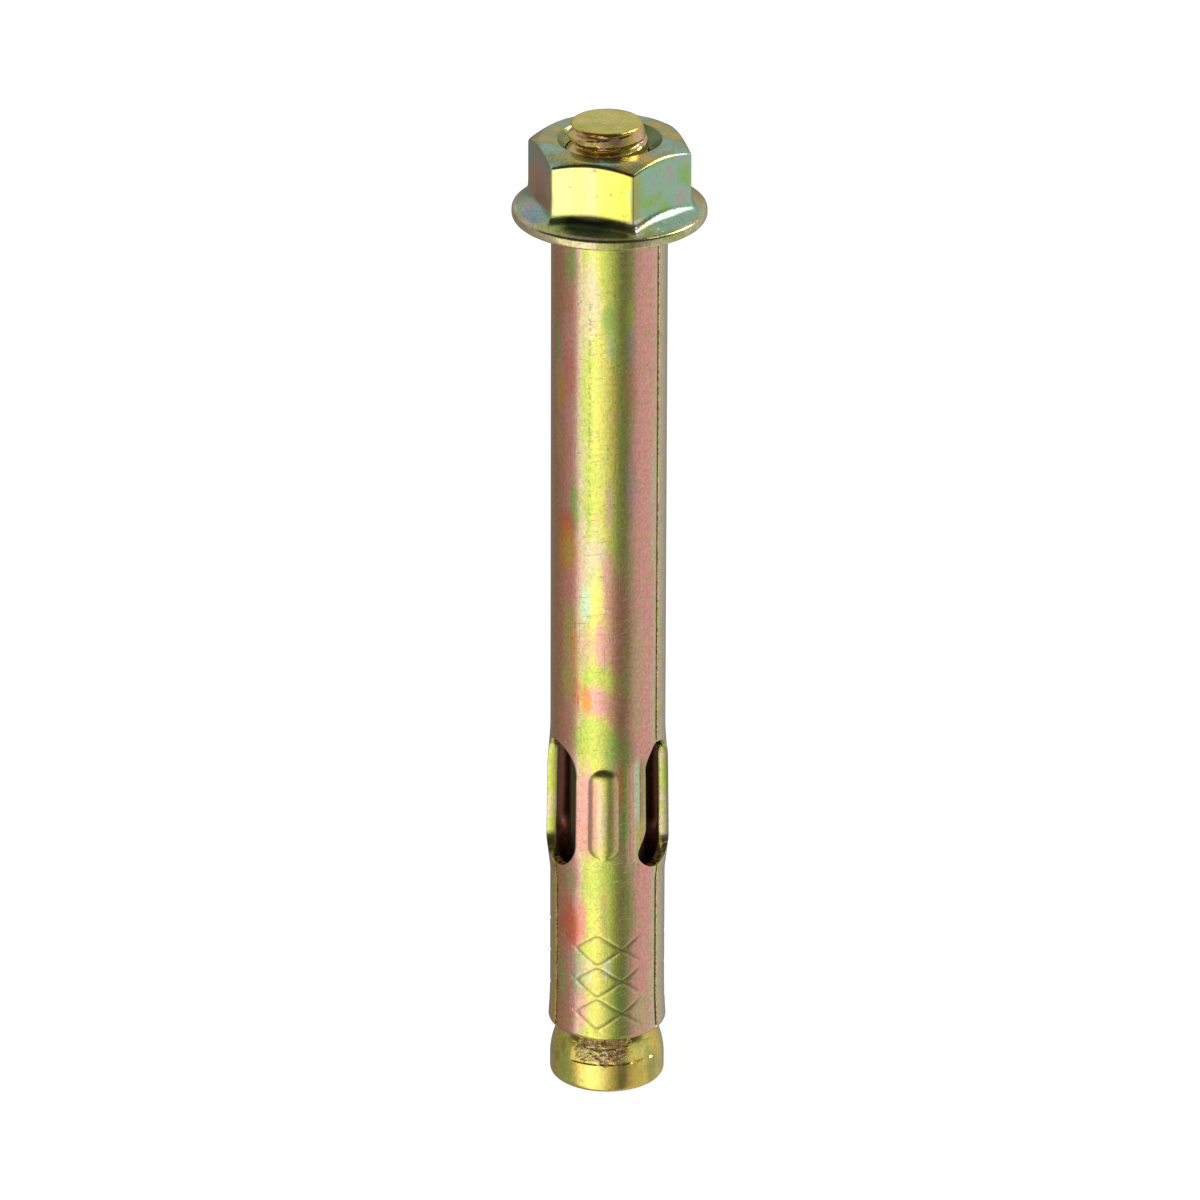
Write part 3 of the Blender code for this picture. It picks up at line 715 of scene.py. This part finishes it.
# ribs pressed out of each strip and the knurl cut in the skin below the windows
def pressTree(material):
    sizes = ["Rib " + name for name in ribs] + ["Knurl " + name for name in knurl]
    sizes += ["Radius", "Wall", "Strips"]
    tree, given = newTree("press_ribs_and_knurl", sizes)
    start = Wire(tree)
    x, y, z = start.node("GeometryNodeInputPosition").scaled(1 / mm).parts()
    radius = (x * x + y * y).of("SQRT")
    turn = x.of("ARCTAN2", 0 - y) / (2 * pi) * given["Strips"]
    across = (turn - turn.nearest()) * (2 * pi) / given["Strips"] * given["Radius"]
    # rib: distance from the middle line of a stadium, crowned, with a soft foot
    half = given["Rib Width"] / 2
    middle = given["Rib Foot"] + given["Rib Length"] / 2
    along = ((z - middle).positive() - (given["Rib Length"] / 2 - half)).most(0)
    aside = across - given["Rib Shift"]
    away = (aside * aside + along * along).of("SQRT") / half
    crown = (1 - away * away).most(0)
    raised = crown * (1 - given["Rib Round"]) + crown.of("POWER", 0.5) * given["Rib Round"]
    rib = raised * given["Rib Height"]
    # knurl: two families of sloping lines
    width, rise, foot, head = (given["Knurl " + name] for name in ("Width", "Rise", "Foot", "Head"))
    skin = radius.of("GREATER_THAN", given["Radius"] - given["Wall"] / 2)
    sideways = (across - given["Knurl Shift"]) / width
    upward = (z - given["Knurl Lift"]) / rise
    slope = width * rise / (width * width + rise * rise).of("SQRT")
    column = sideways + 0.5
    tip = column - column.nearest()
    rounded = tip * tip + given["Knurl Round"] * given["Knurl Round"]
    bend = rounded.of("SQRT")
    lines = None
    for share in (upward + 0.5 + bend, upward + 0.5 - bend):
        gap = (share - share.nearest()).positive() * slope
        line = 1 - gap.ramped(0, given["Knurl Line"])
        lines = line if lines is None else lines.most(line)
    soft = lines.eased(0, 1)
    inReach = 1 - (across - 0.2).positive().eased(given["Knurl Reach"] - 1.3, given["Knurl Reach"] + 0.1)
    inHeight = z.between(foot - 0.2, foot + 0.1, head - 0.5, head)
    groove = soft * inReach * inHeight * skin
    push = (rib - groove * given["Knurl Depth"]) / radius * mm
    flat = x.node("ShaderNodeCombineXYZ", None, {0: x, 1: y, 2: 0.0})
    marked = start.node("GeometryNodeStoreNamedAttribute", {"data_type": "FLOAT", "domain": "POINT"}, {
        "Geometry": given["Geometry"], "Name": "groove", "Value": groove})
    moved = start.node("GeometryNodeSetPosition", None, {0: marked, "Offset": flat.scaled(push)})
    endTree(tree, moved, material)
    return tree


def makeSleeve(material):
    print("sleeve: flat blank")
    points, faces = blankPoints()
    mesh = meshFrom([(u, 0.0, z) for u, z in points], faces)
    work = bmesh.new()
    work.from_mesh(mesh)
    bmesh.ops.remove_doubles(work, verts=work.verts, dist=0.0005)
    bmesh.ops.recalc_face_normals(work, faces=work.faces)
    grown = bmesh.ops.extrude_face_region(work, geom=list(work.faces), use_keep_orig=True)
    for item in grown["geom"]:
        if isinstance(item, bmesh.types.BMVert):
            item.co.y = sleeve["wall"]
    bmesh.ops.recalc_face_normals(work, faces=work.faces)
    rims = [
        edge for edge in work.edges
        if len(edge.link_faces) == 2 and edge.calc_face_angle() > radians(60)
        and abs(edge.verts[0].co.y - edge.verts[1].co.y) < sleeve["edgeRound"]
    ]
    bmesh.ops.bevel(work, geom=rims, offset=sleeve["edgeRound"], offset_type="OFFSET", segments=2,
                    profile=0.5, affect="EDGES", clamp_overlap=False)
    print("sleeve: rolling", len(work.verts), "points")
    spots = np.array([vertex.co for vertex in work.verts])
    u, depth, z = spots[:, 0], spots[:, 1], spots[:, 2]
    radius = rolledRadius(u, depth, z) * mm
    angle = -pi / 2 + u / sleeve["radius"]
    depthLayer = work.verts.layers.float.new("depth")
    for vertex, r, a, height, share in zip(work.verts, radius, angle, z, depth / sleeve["wall"]):
        vertex.co = (r * cos(a), r * sin(a), height * mm)
        vertex[depthLayer] = share
    work.to_mesh(mesh)
    work.free()
    closed(mesh)
    item = newPiece("rolled_sleeve", mesh, material)
    sizes = {"Rib " + name: value for name, value in ribs.items()}
    sizes.update({"Knurl " + name: value for name, value in knurl.items()})
    sizes.update({"Radius": sleeve["radius"], "Wall": sleeve["wall"], "Strips": sleeve["strips"]})
    grow(item, pressTree(material), sizes)
    shadeSmooth(item, radians(35))
    return item


# A screw thread as a tube of facets that follow the helix, open at both ends
def threadTree(name, material, columns):
    sizes = [
        "Crest", "Root", "Pitch", "Low", "High", "Turns", "Phase", "Low Radius", "Low Slope",
        "Low Blend", "High Radius", "High Slope", "High Shift", "High Blend", "Inside", "Grow", "Chips",
    ]
    tree, given = newTree(name, sizes)
    start = Wire(tree)
    steps = thread["steps"]
    turns = thread["turns"][name]
    grid = start.node("GeometryNodeMeshGrid", None, {
        "Size X": 1.0, "Size Y": 1.0, "Vertices X": columns + 1, "Vertices Y": turns * steps + 1})
    x, y, z = start.node("GeometryNodeInputPosition").parts()
    around = x + 0.5
    angle = around * (2 * pi)
    cosine, sine = angle.of("COSINE"), angle.of("SINE")
    low, high, lowRadius = given["Low"], given["High"], given["Low Radius"]
    upward = (y + 0.5) * given["Turns"]
    height = (upward + around - 1 + given["Phase"]) * given["Pitch"] + low
    height = height.most(low).least(high)
    off = (upward - upward.nearest()).positive()
    slope = 1 - off.ramped(thread["crestShare"], thread["rootShare"])
    radius = given["Root"] + (given["Crest"] - given["Root"]) * slope + given["Grow"]
    runOut = ((height - low) / given["Low Blend"]).least(1)
    radius = lowRadius + (radius - lowRadius) * runOut
    # small chips in the crests
    turned = x.node("ShaderNodeCombineXYZ", None, {0: cosine, 1: sine, 2: height * thread["chipStretch"]})
    sockets = {"Vector": turned, "Scale": thread["chipScale"], "Detail": 2.0}
    chips = turned.node("ShaderNodeTexNoise", None, sockets, "Fac")
    radius = radius - (chips - thread["chipStart"]).most(0) * given["Chips"] * runOut
    # the last ring meets the end face or the countersink
    tipRadius = given["High Radius"] + given["High Shift"] * cosine
    fade = ((high - height) / given["High Blend"]).least(1)
    radius = tipRadius + (radius - tipRadius) * fade
    fromLow = (height - low) * given["Low Slope"]
    fromHigh = (high - height) * given["High Slope"]
    outside = radius.least(lowRadius + fromLow).least(tipRadius + fromHigh)
    inside = radius.most(lowRadius - fromLow).most(tipRadius - fromHigh)
    chosen = outside + (inside - outside) * given["Inside"]
    spot = x.node("ShaderNodeCombineXYZ", None, {
        0: chosen * cosine * mm, 1: chosen * sine * mm, 2: height * mm})
    moved = start.node("GeometryNodeSetPosition", None, {0: grid, "Position": spot})
    merged = start.node("GeometryNodeMergeByDistance", None, {0: moved, "Distance": weldDistance / 2})
    endTree(tree, merged, material)
    return tree


thread = {
    "pitch": 1.0,
    "crest": 2.95,
    "root": 2.38,
    "steps": 16,
    "columns": 132,
    "phase": -0.5,
    "crestShare": 1 / 14,
    "rootShare": 0.40,
    "clearance": 0.07,
    "chipScale": 4.0,
    "chipStretch": 0.8,
    "chipStart": 0.45,
    "turns": {"stud_thread": 32, "nut_thread": 8},
}


# Stud: threaded end, plain shank and the cone that spreads the sleeve
stud = {
    "threadLength": 30.0,
    "tipRadius": 2.45,
    "tipShares": [1, 0.98, 0.95, 0.91, 0.87, 0.45, 0.2, 0.001],
    "tipDrop": [0.15, 0.08, 0.035, 0.01, 0.0, 0.0, 0.0, 0.0],
    "tipShift": -0.2,  # the end face sits a little towards -X
    "tipSlope": 0.30,
    "shank": 2.65,
    "neck": 3.1,
    "neckTop": 6.8,
    "coneRadius": 4.0,
    "coneBand": 1.35,
    "shoulderRound": 5.2,
    "endRound": 0.45,
    "ledge": 0.05,
    "ledgeTop": 2.10,
    "ledgeRise": 0.08,
    "ledgeEnd": 4.4,
    "ledgeFade": 0.6,
    "wearTop": 5.2,
    "stepAngle": 12.0,
    "stepHalf": 46.0,
    "stepFade": 8.0,
    "tornAngle": -3.0,
    "tornHalf": 20.0,
    "tornFade": 14.0,
    "grain": 0.06,
    "facetAngle": 42.0,
    "facetHalf": 16.0,
}


# how far the cone's skin lies under its turned shape: a step, a torn patch and a flat
def coneWear(angle, radius, height):
    side = (angle + 90 + 180) % 360 - 180
    if radius < stud["coneRadius"] - stud["endRound"] or height > stud["wearTop"]:
        return 0.0
    inStep = 1 - smooth((abs(side - stud["stepAngle"]) - stud["stepHalf"]) / stud["stepFade"])
    step = smooth((height - stud["ledgeTop"]) / stud["ledgeRise"]) * inStep
    worn = stud["ledge"] * step * (1 - smooth((height - stud["ledgeEnd"]) / stud["ledgeFade"]))
    torn = step * (1 - smooth((abs(side - stud["tornAngle"]) - stud["tornHalf"]) / stud["tornFade"]))
    grain = noiseAt(Vector((side * 0.2, height * 3.0, 1.0))) + noiseAt(Vector((side * 0.45, height * 6.0, 4.0)))
    worn += stud["grain"] * torn * max(grain + 0.4, 0)
    chord = radius * cos(radians(stud["facetHalf"])) / cos(radians(side - stud["facetAngle"]))
    if abs(side - stud["facetAngle"]) < stud["facetHalf"] and height > stud["ledgeTop"]:
        worn += max(radius - chord, 0) * smooth((height - stud["ledgeTop"]) / 0.1)
    return float(worn)


def lathe(profile, columns):
    points = []
    for radius, height in profile:
        for i in range(columns):
            a = 2 * pi * i / columns
            r = radius - coneWear(degrees(a), radius, height)
            points.append((r * cos(a) * mm, r * sin(a) * mm, height * mm))
    return points, ringFaces(len(profile), columns)


def coneProfile():
    band, radius, bend = stud["coneBand"], stud["coneRadius"], stud["shoulderRound"]
    top = sqrt(bend ** 2 - (bend - radius + stud["neck"]) ** 2)
    profile = [(0.001, 0.0)]
    flat = radius - stud["endRound"]
    profile += [(r, 0.0) for r in np.linspace(0.6, flat, 7)]
    for a in np.linspace(-pi / 2, 0, 8)[1:]:
        profile.append((flat + stud["endRound"] * cos(a), stud["endRound"] + stud["endRound"] * sin(a)))
    profile += [(radius, z) for z in np.linspace(stud["endRound"], band, 8)[1:]]
    for z in np.linspace(0, top, 60)[1:]:
        profile.append((radius - bend + sqrt(bend ** 2 - z ** 2), band + z))
    profile += [(stud["shank"], stud["neckTop"])]
    profile += [(stud["shank"], z) for z in np.linspace(10, studHigh.z / mm - stud["threadLength"], 12)]
    return profile


def makeStud(material):
    print("stud: thread")
    columns = thread["columns"]
    tip = studHigh.z / mm
    start = tip - stud["threadLength"]
    item = newPiece("stud_thread", bpy.data.meshes.new("work"), material)
    grow(item, threadTree("stud_thread", material, columns), {
        "Crest": thread["crest"], "Root": thread["root"], "Pitch": thread["pitch"],
        "Low": start, "High": tip - stud["tipDrop"][0], "Turns": thread["turns"]["stud_thread"],
        "Phase": thread["phase"],
        "Low Radius": stud["shank"], "Low Slope": 1.0, "Low Blend": 1.0,
        "High Radius": stud["tipRadius"], "High Slope": stud["tipSlope"], "High Shift": stud["tipShift"],
        "High Blend": 0.25, "Inside": 0.0, "Grow": 0.0, "Chips": 0.25,
    })
    print("stud: shank and cone")
    points, faces = lathe(coneProfile(), columns)
    faces.append(tuple(reversed(range(columns))))
    cap = [(stud["tipRadius"] * share, tip - drop) for share, drop in zip(stud["tipShares"], stud["tipDrop"])]
    capPoints, capFaces = lathe(cap, columns)
    for k, (x, y, z) in enumerate(capPoints):
        around = 2 * pi * (k % columns) / columns
        r = sqrt(x * x + y * y) * (1 + stud["tipShift"] * cos(around) / stud["tipRadius"])
        capPoints[k] = (r * cos(around), r * sin(around), z)
    start = len(points)
    points += capPoints
    faces += [tuple(start + i for i in face) for face in capFaces]
    faces.append(tuple(start + (len(cap) - 1) * columns + i for i in range(columns)))
    shape = newPiece("work", meshFrom(points, faces), material)
    joined = joinPieces("threaded_stud", [item, shape], material)
    shadeSmooth(joined, radians(32))
    return joined


def joinPieces(name, items, material):
    work = bmesh.new()
    for item in items:
        work.from_mesh(item.data)
    mesh = bpy.data.meshes.new(name)
    work.to_mesh(mesh)
    work.free()
    for item in items:
        bpy.data.objects.remove(item, do_unlink=True)
    closed(mesh)
    return newPiece(name, mesh, material)


# Nut: a hexagon on a sloping flange, with a chamfered top and a threaded bore
nut = {
    "acrossFlats": 10.0,
    "cornerPower": 75.0,
    "clock": -11.6,
    "flangeEdge": 0.85,
    "flangeEdgeRound": 0.3,
    "flangeSlope": 27.0,
    "chamferRadius": 4.75,
    "chamferSlope": 30.0,
    "filletRise": 0.85,
    "filletReach": 0.55,
    "edgeRound": 0.2,
    "countersink": 3.6,
    "minor": 2.55,
    "sector": 22,
}


def makeNut(material):
    print("nut: thread")
    columns = nut["sector"] * 6
    low, high = nutLow.z / mm, nutHigh.z / mm
    tip = studHigh.z / mm
    phase = ((tip - stud["threadLength"] - low) / thread["pitch"] + thread["phase"]) % 1
    item = newPiece("nut_thread", bpy.data.meshes.new("work"), material)
    grow(item, threadTree("nut_thread", material, columns), {
        "Crest": thread["crest"], "Root": nut["minor"], "Pitch": thread["pitch"],
        "Low": low, "High": high, "Turns": thread["turns"]["nut_thread"], "Phase": phase - 1,
        "Low Radius": nut["countersink"], "Low Slope": 1.0, "Low Blend": 0.0001,
        "High Radius": nut["countersink"], "High Slope": 1.0, "High Shift": 0.0, "High Blend": 0.0001,
        "Inside": 1.0, "Grow": thread["clearance"], "Chips": 0.0,
    })
    print("nut: hexagon and flange")
    flat = nut["acrossFlats"] / 2
    half = nut["sector"] // 2
    share = 1 - (1 - np.arange(half + 1) / half) ** 1.7
    sector = np.concatenate([-share[::-1][:-1], share[:-1]]) * radians(30)
    outer = np.concatenate([k * pi / 3 + sector for k in range(6)])
    even = np.arange(columns) * 2 * pi / columns - pi / 6
    clock = radians(nut["clock"] - 90)
    steps = round(clock / (2 * pi / columns))
    even = even + steps * 2 * pi / columns
    outer = outer + clock
    edges = [clock + k * pi / 3 for k in range(6)]
    power = nut["cornerPower"]
    cosines = np.array([np.maximum(np.cos(outer - e), 0.001) for e in edges])
    hexagon = flat * (cosines ** power).sum(0) ** (-1 / power)
    rings = []

    def ring(radius, height, angles):
        radius = np.broadcast_to(radius, (columns,))
        height = np.broadcast_to(height, (columns,))
        rings.append(np.stack([radius * np.cos(angles), radius * np.sin(angles), height], 1))

    flangeRadius = nutHigh.x / mm
    crease = flangeRadius - nut["flangeEdgeRound"]
    upper = low + nut["flangeEdge"] - nut["flangeEdgeRound"]
    lower = low + nut["flangeEdgeRound"]
    slope = tan(radians(nut["flangeSlope"]))
    chamfer = tan(radians(nut["chamferSlope"]))
    ring(nut["countersink"], low, even)
    for t in (0.3, 0.7):
        ring(nut["countersink"] + (crease - nut["countersink"]) * t, low, even + (outer - even) * t)
    for a in np.linspace(-pi / 2, 0, 7):
        ring(crease + nut["flangeEdgeRound"] * cos(a), lower + nut["flangeEdgeRound"] * sin(a), outer)
    for a in np.linspace(0, pi / 2 - radians(nut["flangeSlope"]), 7):
        ring(crease + nut["flangeEdgeRound"] * cos(a), upper + nut["flangeEdgeRound"] * sin(a), outer)
    lift = upper + nut["flangeEdgeRound"] * cos(radians(nut["flangeSlope"]))
    shelf = crease + nut["flangeEdgeRound"] * sin(radians(nut["flangeSlope"]))
    fillet = nut["filletRise"]
    meet = lift + (shelf - hexagon) * slope
    inset = np.minimum(nut["filletReach"], (shelf - hexagon) * 0.8)
    for t in (0.25, 0.5, 0.75, 1.0):
        r = shelf + (hexagon + inset - shelf) * t
        ring(r, lift + (shelf - r) * slope, outer)
    for t in (0.25, 0.5, 0.75, 1.0):
        # a soft curve from the flange's slope to the hexagon's side
        a = (1 - t) ** 2
        b = t ** 2
        ring(hexagon + inset * a, meet - inset * slope * a + fillet * b, outer)
    side = high - np.maximum(hexagon - nut["chamferRadius"], 0) * chamfer
    foot = meet + fillet
    edge = nut["edgeRound"]
    for t in (0.33, 0.67, 1.0):
        ring(hexagon, foot + (side - edge - foot) * t, outer)
    # the rounded edge under the chamfer, as a curve drawn towards the sharp corner
    for t in (0.25, 0.5, 0.75, 1.0):
        ring(hexagon - edge * t ** 2, side - edge * (1 - t) ** 2 + edge * chamfer * t ** 2, outer)
    inner = nut["chamferRadius"] - 0.15
    for t in (0.35, 0.7, 1.0):
        r = hexagon - edge + (inner - hexagon + edge) * t
        ring(r, high - np.maximum(r - nut["chamferRadius"], 0) * chamfer, outer)
    for t in (0.3, 0.7, 1.0):
        ring(inner + (nut["countersink"] - inner) * t, high, outer + (even - outer) * t)
    points = np.concatenate(rings) * mm
    shape = newPiece("work", meshFrom(points.tolist(), ringFaces(len(rings), columns)), material)
    joined = joinPieces("hex_flange_nut", [item, shape], material)
    shadeSmooth(joined, radians(28))
    return joined


# Studio: a white floor, soft lamps and the camera of the photograph
view = {
    "distance": 857.685,
    "elevation": 23.759,
    "azimuth": 2.0,
    "aimHeight": 36.055,
    "lens": 371.7,
    "roll": 0.18,
    "shift": -0.0069,
}


def makeCamera():
    data = bpy.data.cameras.new("camera")
    data.sensor_width = 36.0
    data.lens = view["lens"]
    data.shift_x = view["shift"]
    data.clip_end = 10.0
    camera = bpy.data.objects.new("camera", data)
    bpy.context.scene.collection.objects.link(camera)
    rise, swing = radians(view["elevation"]), radians(view["azimuth"])
    aim = Vector((0, 0, view["aimHeight"])) * mm
    back = Vector((sin(swing) * cos(rise), -cos(swing) * cos(rise), sin(rise)))
    camera.location = aim + back * view["distance"] * mm
    camera.rotation_mode = "QUATERNION"
    look = (-back).to_track_quat("-Z", "Y")
    roll = Vector((0, 0, 1))
    camera.rotation_quaternion = look @ Quaternion(roll, radians(view["roll"]))
    bpy.context.scene.camera = camera


lamps = {
    "target": (0, 0, 36),
    # place, size, power, whether the metal mirrors it
    "side": ((460, 130, 400), (240, 240), 1.1, True),
    "upper": ((320, -60, 500), (90, 90), 0.10, True),
    "key": ((-420, -380, 560), (300, 300), 6.0, False),  # it draws the shadow on the paper
}


def softbox(name):
    place, size, power, mirrored = lamps[name]
    data = bpy.data.lights.new(name, "AREA")
    data.shape = "RECTANGLE"
    data.size, data.size_y = size[0] * mm, size[1] * mm
    data.energy = power
    lamp = bpy.data.objects.new(name, data)
    bpy.context.scene.collection.objects.link(lamp)
    lamp.location = Vector(place) * mm
    lamp.rotation_mode = "QUATERNION"
    lamp.rotation_quaternion = (Vector(lamps["target"]) * mm - lamp.location).to_track_quat("-Z", "Y")
    lamp.visible_glossy = mirrored


# emission that only a reflection sees: cloth hung round the part, bright at the front left
tent = {
    "radius": 1600.0,
    "around": [
        (-180, 0.24), (-130, 0.27), (-108, 0.32), (-90, 0.40), (-70, 0.46), (-64, 0.58), (-59, 1.15),
        (-45, 1.15), (-30, 1.48), (-18, 1.30), (-6, 0.95), (6, 0.70), (14, 0.45), (20, 0.32), (26, 0.25),
        (38, 0.27), (46, 0.38), (56, 0.54), (68, 0.62), (97, 0.66), (120, 0.66), (150, 0.42), (180, 0.24),
    ],
    # from the front horizon over the top to the back, in degrees
    "over": [(0, 0.12), (30, 0.05), (75, 0.04), (90, 0.12), (100, 0.34), (120, 0.52), (180, 0.54)],
    "overStart": 2,
    "overFull": 20,
}


def makeTent():
    material, tree, shader = newMaterial("tent_cloth")
    start = Wire(tree)
    x, y, z = start.node("ShaderNodeTexCoord", None, None, "Object").parts()
    share = x.of("ARCTAN2", 0 - y) / (2 * pi) + 0.5
    stops = [(angle / 360 + 0.5, (grey / 2,) * 3) for angle, grey in tent["around"]]
    ring = share.node("ShaderNodeValToRGB", {"stops": stops}, {"Fac": share})
    level = (x * x + y * y).of("SQRT")
    rise = z.of("ARCTAN2", level) * (180 / pi)
    arc = z.of("ARCTAN2", 0 - y) / pi
    stops = [(angle / 180, (grey / 2,) * 3) for angle, grey in tent["over"]]
    top = arc.node("ShaderNodeValToRGB", {"stops": stops}, {"Fac": arc})
    colour = mixColours(rise.eased(tent["overStart"], tent["overFull"]), ring, top)
    glow = start.node("ShaderNodeEmission", None, {"Color": colour, "Strength": 2.0})
    tree.links.new(glow.socket, tree.nodes["Material Output"].inputs["Surface"])
    tree.nodes.remove(shader)
    bpy.ops.mesh.primitive_uv_sphere_add(segments=64, ring_count=32, radius=tent["radius"] * mm)
    cloth = bpy.context.active_object
    cloth.name = "light_tent"
    cloth.data.materials.append(material)
    cloth.visible_camera = cloth.visible_diffuse = cloth.visible_shadow = False
    cloth.visible_transmission = cloth.visible_volume_scatter = False


def makeFloor():
    material, tree, shader = newMaterial("white_paper")
    shader.inputs["Base Color"].default_value = (0.96, 0.96, 0.96, 1)
    shader.inputs["Roughness"].default_value = 0.9
    start = Wire(tree)
    path = start.node("ShaderNodeLightPath").socket.node
    camera, glossy, through = (Wire(tree, path.outputs[name]) for name in (
        "Is Camera Ray", "Is Glossy Ray", "Is Transmission Ray"))
    seen = camera.most(glossy).most(through)
    white = start.node("ShaderNodeEmission", None, {"Color": (1, 1, 1, 1), "Strength": 1.0})
    paper = Wire(tree, shader.outputs[0])
    mixed = start.node("ShaderNodeMixShader", None, {0: seen * 0.9, 1: paper, 2: white})
    tree.links.new(mixed.socket, tree.nodes["Material Output"].inputs["Surface"])
    bpy.ops.mesh.primitive_plane_add(size=4.0)
    floor = bpy.context.active_object
    floor.name = "floor"
    floor.data.materials.append(material)
    floor.visible_glossy = False


def makeWorld():
    world = bpy.data.worlds.new("studio")
    world.use_nodes = True
    background = world.node_tree.nodes["Background"]
    background.inputs["Color"].default_value = (1, 1, 1, 1)
    background.inputs["Strength"].default_value = 1.0
    bpy.context.scene.world = world


def main():
    sleevePiece = makeSleeve(sleeveZinc())
    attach(sleevePiece, "sleeve")
    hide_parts("expansion_sleeve")
    studPiece = makeStud(studZinc())
    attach(studPiece, "stud")
    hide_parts("cone_bolt")
    nutPiece = makeNut(nutZinc())
    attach(nutPiece, "nut")
    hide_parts("flange_nut")
    print("studio")
    makeFloor()
    makeWorld()
    makeTent()
    for name in ("side", "upper", "key"):
        softbox(name)
    makeCamera()
    bpy.context.scene.view_settings.view_transform = "Standard"


main()
